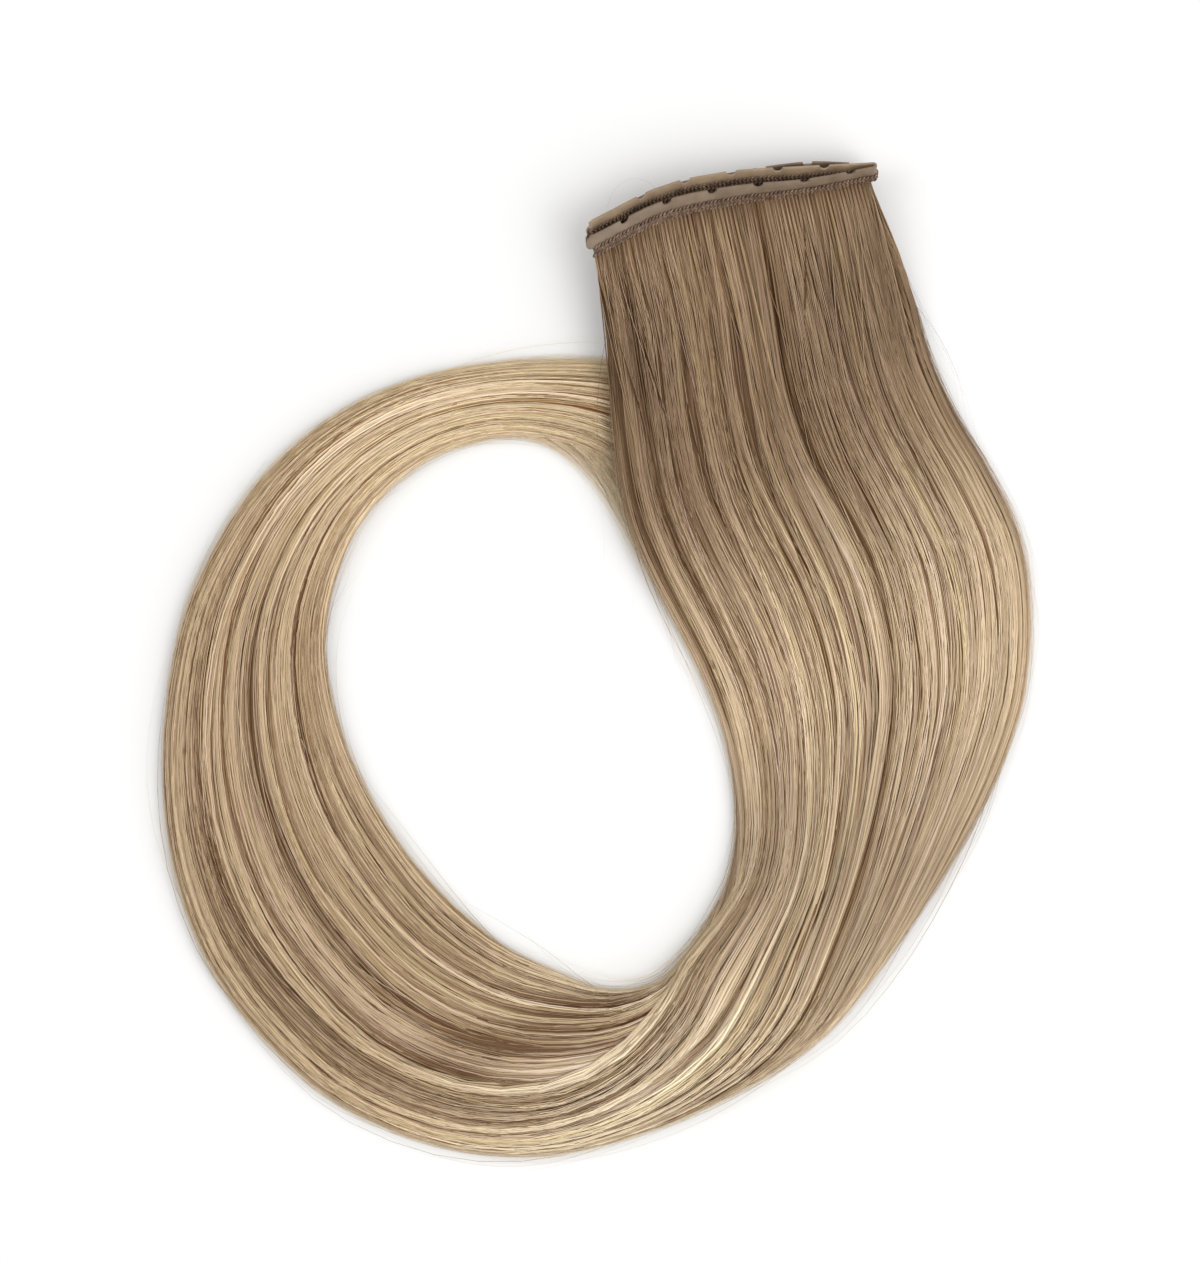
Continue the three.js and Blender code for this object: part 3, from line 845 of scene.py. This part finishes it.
# Top hairs. Fine loose hairs lie over the combed locks and wander across them,
# first down the curtain from the roots, then round the loop to the tips.
rng = np.random.default_rng(40)
curtain_hairs = 400
lines, outward, at, tone, early = combed(rng, 0, 24, 156, curtain_hairs, 15.5, 9.0, 30, astray=0.3)
# Painted highlights: the top hairs are painted paler than the locks, partly for the sheen along single
# hairs.
tone = np.clip(tone + 0.15, 0, 0.97)
thick = rng.uniform(0.07, 0.11, curtain_hairs)
single_hair = ring_of(3)
meshes = [hair_tubes(lines + 0.3 * upward, outward, at, tone, early, thick, thick, single_hair)]
hair_piece("curtain_top_hairs", meshes)

loop_hairs = 420
theta = np.radians(rng.uniform(93, 264, loop_hairs))
first = rng.uniform(8.5, 21, loop_hairs)
later = np.maximum(first, rng.uniform(15.8, 19, loop_hairs))
first = np.where(np.degrees(theta) > front_edge - 4, later, first)
final = np.minimum(first + rng.uniform(7, 18, loop_hairs), tip_row - rng.uniform(0, 2, loop_hairs))
at = first[:, None] + (final - first)[:, None] * np.linspace(0, 1, 34)
each = np.arange(loop_hairs)
wander = np.where(rng.uniform(0, 1, loop_hairs) < 0.2, 2.6, 1.0)[:, None]
angle = theta[:, None] + wander * sway(rng, each, at, 0.04, 6, 16)
depth = 1.6 * (1 - soft_step((at - first[:, None]) / 1.6)) - rng.uniform(0.05, 0.3, (loop_hairs, 1))
angle, depth = grooved(at, theta[:, None], angle, depth)
swing = swung(at, theta[:, None])
# These hairs are painted pale too, partly as painted highlights along single hairs.
tone = np.clip(rng.normal(0.66, 0.2, loop_hairs), 0.08, 0.97)
lines = sunk(at, angle + swing, depth - swing_lift * swing)
early = rng.normal(0, 0.01, loop_hairs)
thick = rng.uniform(0.07, 0.11, loop_hairs)
meshes = [hair_tubes(lines, upward, at, tone, early, thick, thick, single_hair)]
hair_piece("loop_top_hairs", meshes)


# Stray hairs. Fine hairs soften the edges of the bundle, single ones stand off it in slack bows,
# and the pale tips of the loop fan out and turn down beside the curtain.
rng = np.random.default_rng(60)
meshes = []
# The edge fuzz is painted pale, partly fair hair and partly painted light for the glow through the thin
# edges.
for strays, low, high, longest, thin, thick, pale in (
    (1200, 0.1, 2.0, 5.0, 0.055, 0.090, 0.80),
    (170, 1.0, 7.0, 6.0, 0.055, 0.085, 0.55),
):
    edge = np.where(rng.uniform(0, 1, strays) < 0.6, 1.0, -1.0)
    first = rng.uniform(0.6, 31, strays)
    final = np.minimum(first + rng.uniform(1.2, longest, strays), tip_row)
    part = np.linspace(0, 1, 14)
    at = first[:, None] + (final - first)[:, None] * part
    row = through(hair_route, at)
    out = row[..., 2:4] - row[..., 0:2]
    out = out / np.linalg.norm(out, axis=-1, keepdims=True) * edge[:, None, None]
    away = rng.uniform(low, high, strays) * rng.uniform(0.3, 1, strays)
    free = rng.uniform(0, 1, strays) < 0.5
    bowed = np.where(free[:, None], part ** 1.7, np.sin(np.pi * part))
    stand = bowed * away[:, None] - 0.8 * (1 - part) ** 4
    lines = section_point(at, edge[:, None] * 0.97 + 0 * at, -0.05 + 0 * at)
    lines[..., :2] += out * stand[..., None]
    lines[..., 2] += rng.uniform(-1, 2.2, strays)[:, None] * np.sin(np.pi * part / 1.4)
    lines[..., 2] = np.maximum(lines[..., 2], 0.3)
    tone = np.clip(rng.normal(pale, 0.13, strays), 0.1, 0.95)
    width = rng.uniform(thin, thick, strays)
    meshes.append(hair_tubes(lines, upward, at, tone, np.zeros(strays), width, width, single_hair))

fan = 170
part = np.linspace(0, 1, 20)[None, :]
leave = rng.uniform(29.0, 31.0, fan)
arrive = rng.uniform(3.6, 6.4, fan)
inner = -0.93 + 0.4 * rng.uniform(0, 1, fan) ** 2
starts = section_point(leave, inner, 0 * leave)
onward = section_point(leave + 0.5, inner, 0 * leave) - starts
beside = -1 - 0.11 * rng.uniform(0, 1, fan) ** 1.6 * soft_step((7 - arrive) / 3)
row = through(hair_route, arrive)
along = through(hair_route, arrive + 0.5)[:, :2] - row[:, :2]
landing = row[:, :2] + (row[:, 2:4] - row[:, :2]) * ((beside + 1) / 2)[:, None]
span = np.linalg.norm(landing - starts[:, :2], axis=1)
pull_on = onward[:, :2] / np.linalg.norm(onward[:, :2], axis=1, keepdims=True) * span[:, None] * 1.15
pull_in = along / np.linalg.norm(along, axis=1, keepdims=True) * span[:, None] * 0.9
u = part[..., None]
plan = starts[:, None, :2] * (2 * u ** 3 - 3 * u ** 2 + 1) + pull_on[:, None] * (u ** 3 - 2 * u ** 2 + u)
plan = plan + landing[:, None] * (3 * u ** 2 - 2 * u ** 3) + pull_in[:, None] * (u ** 3 - u ** 2)
height = starts[:, 2:] * (1 - part) + (0.4 + 2.5 * rng.uniform(0, 1, (fan, 1))) * part
lines = np.concatenate([plan, height[..., None]], -1)
at = 29 + 4 * part + 0 * lines[..., 0]
tone = np.clip(rng.normal(0.66, 0.14, fan), 0.2, 0.95)
width = rng.uniform(0.06, 0.10, fan)
meshes.append(hair_tubes(lines, upward, at, tone, np.zeros(fan), width, width, single_hair))

# Single long hairs that stand clear: one bows up beside the left end of the strip, some hang off
# the curtain's right edge, and two lie inside the loop. Points are x, y and height in mm.
bow_width = np.array([0.09])
for points, tint in (
    ((
        (3.0, 116.5, 14.0), (4.3, 119.9, 15.6), (6.9, 122.7, 16.6),
        (10.2, 123.7, 16.8), (13.6, 122.9, 16.0), (15.6, 121.4, 14.4),
    ), 0.2),
    ((
        (78.4, 103.0, 6.5), (82.6, 96.0, 5.5), (88.3, 85.4, 4.5),
        (93.5, 73.7, 3.0), (95.0, 61.0, 1.6),
    ), 0.5),
    ((
        (79.0, 101.0, 6.0), (85.4, 91.0, 5.0), (92.0, 79.0, 3.5),
        (97.2, 66.0, 2.0), (100.2, 55.0, 1.0),
    ), 0.4),
    (((83.0, 92.0, 5.0), (90.0, 81.5, 4.0), (96.4, 70.0, 2.5), (103.0, 58.0, 1.2)), 0.5),
    ((
        (100.0, 56.0, 2.0), (106.2, 47.0, 1.0), (112.2, 34.0, 0.6),
        (114.6, 20.0, 0.5), (114.0, 8.0, 0.5),
    ), 0.4),
    (((9.6, 33.0, 5.0), (11.0, 25.6, 2.0), (9.2, 10.0, 0.5), (9.6, -4.0, 0.4)), 0.6),
    (((0.5, 46.0, 5.0), (2.2, 32.0, 2.5), (2.0, 20.0, 0.6), (0.6, 8.0, 0.4)), 0.6),
):
    bow_at = np.linspace(0, len(points) - 1, 24)[None]
    bow = through(points, bow_at[0])[None]
    tone = np.array([tint])
    early = np.zeros(1)
    meshes.append(hair_tubes(bow, upward, bow_at * 0.2, tone, early, bow_width, bow_width, single_hair))
hair_piece("stray_hairs", meshes)


# Table. A plain white board that the hair lies on.
bpy.ops.object.select_all(action="DESELECT")
bpy.ops.mesh.primitive_plane_add(size=6, location=(0, 0, -0.0002))
table = bpy.context.object
table.name = "table"
table_finish = bpy.data.materials.new("white_board")
table_finish.use_nodes = True
table_shader = table_finish.node_tree.nodes["Principled BSDF"]
table_shader.inputs["Base Color"].default_value = (0.80, 0.80, 0.795, 1)
table_shader.inputs["Roughness"].default_value = 0.75
table.data.materials.append(table_finish)


# Light. Two soft panels on the right, a weaker one on the left, and a pale room all round.
room = bpy.context.scene.world or bpy.data.worlds.new("room")
bpy.context.scene.world = room
room.use_nodes = True
room.node_tree.nodes["Background"].inputs["Color"].default_value = (1, 1, 1, 1)
room.node_tree.nodes["Background"].inputs["Strength"].default_value = 0.72
for name, spot, size, power in (
    ("high_panel", (0.58, -0.10, 1.08), 0.8, 4.8),
    ("low_panel", (0.92, -0.42, 0.72), 1.1, 6.3),
    ("left_panel", (-0.90, 0.15, 0.90), 0.8, 4.5),
):
    light_data = bpy.data.lights.new(name, "AREA")
    light_data.size = size
    light_data.energy = power
    light = bpy.data.objects.new(name, light_data)
    light.location = spot
    light.rotation_euler = (-Vector(spot)).to_track_quat("-Z", "Y").to_euler()
    bpy.context.collection.objects.link(light)


# Camera. Straight down over the table, with the photograph's framing.
view_height = 1.2
hair_height = 0.006
frame_width = 0.312
sensor_width = 36
camera_data = bpy.data.cameras.new("camera")
camera_data.sensor_fit = "HORIZONTAL"
camera_data.sensor_width = sensor_width
camera_data.lens = sensor_width * (view_height - hair_height) / frame_width
camera = bpy.data.objects.new("camera", camera_data)
camera.location = (0.00117, 0.00715, view_height)
bpy.context.collection.objects.link(camera)
bpy.context.scene.camera = camera
bpy.context.scene.view_settings.view_transform = "Standard"
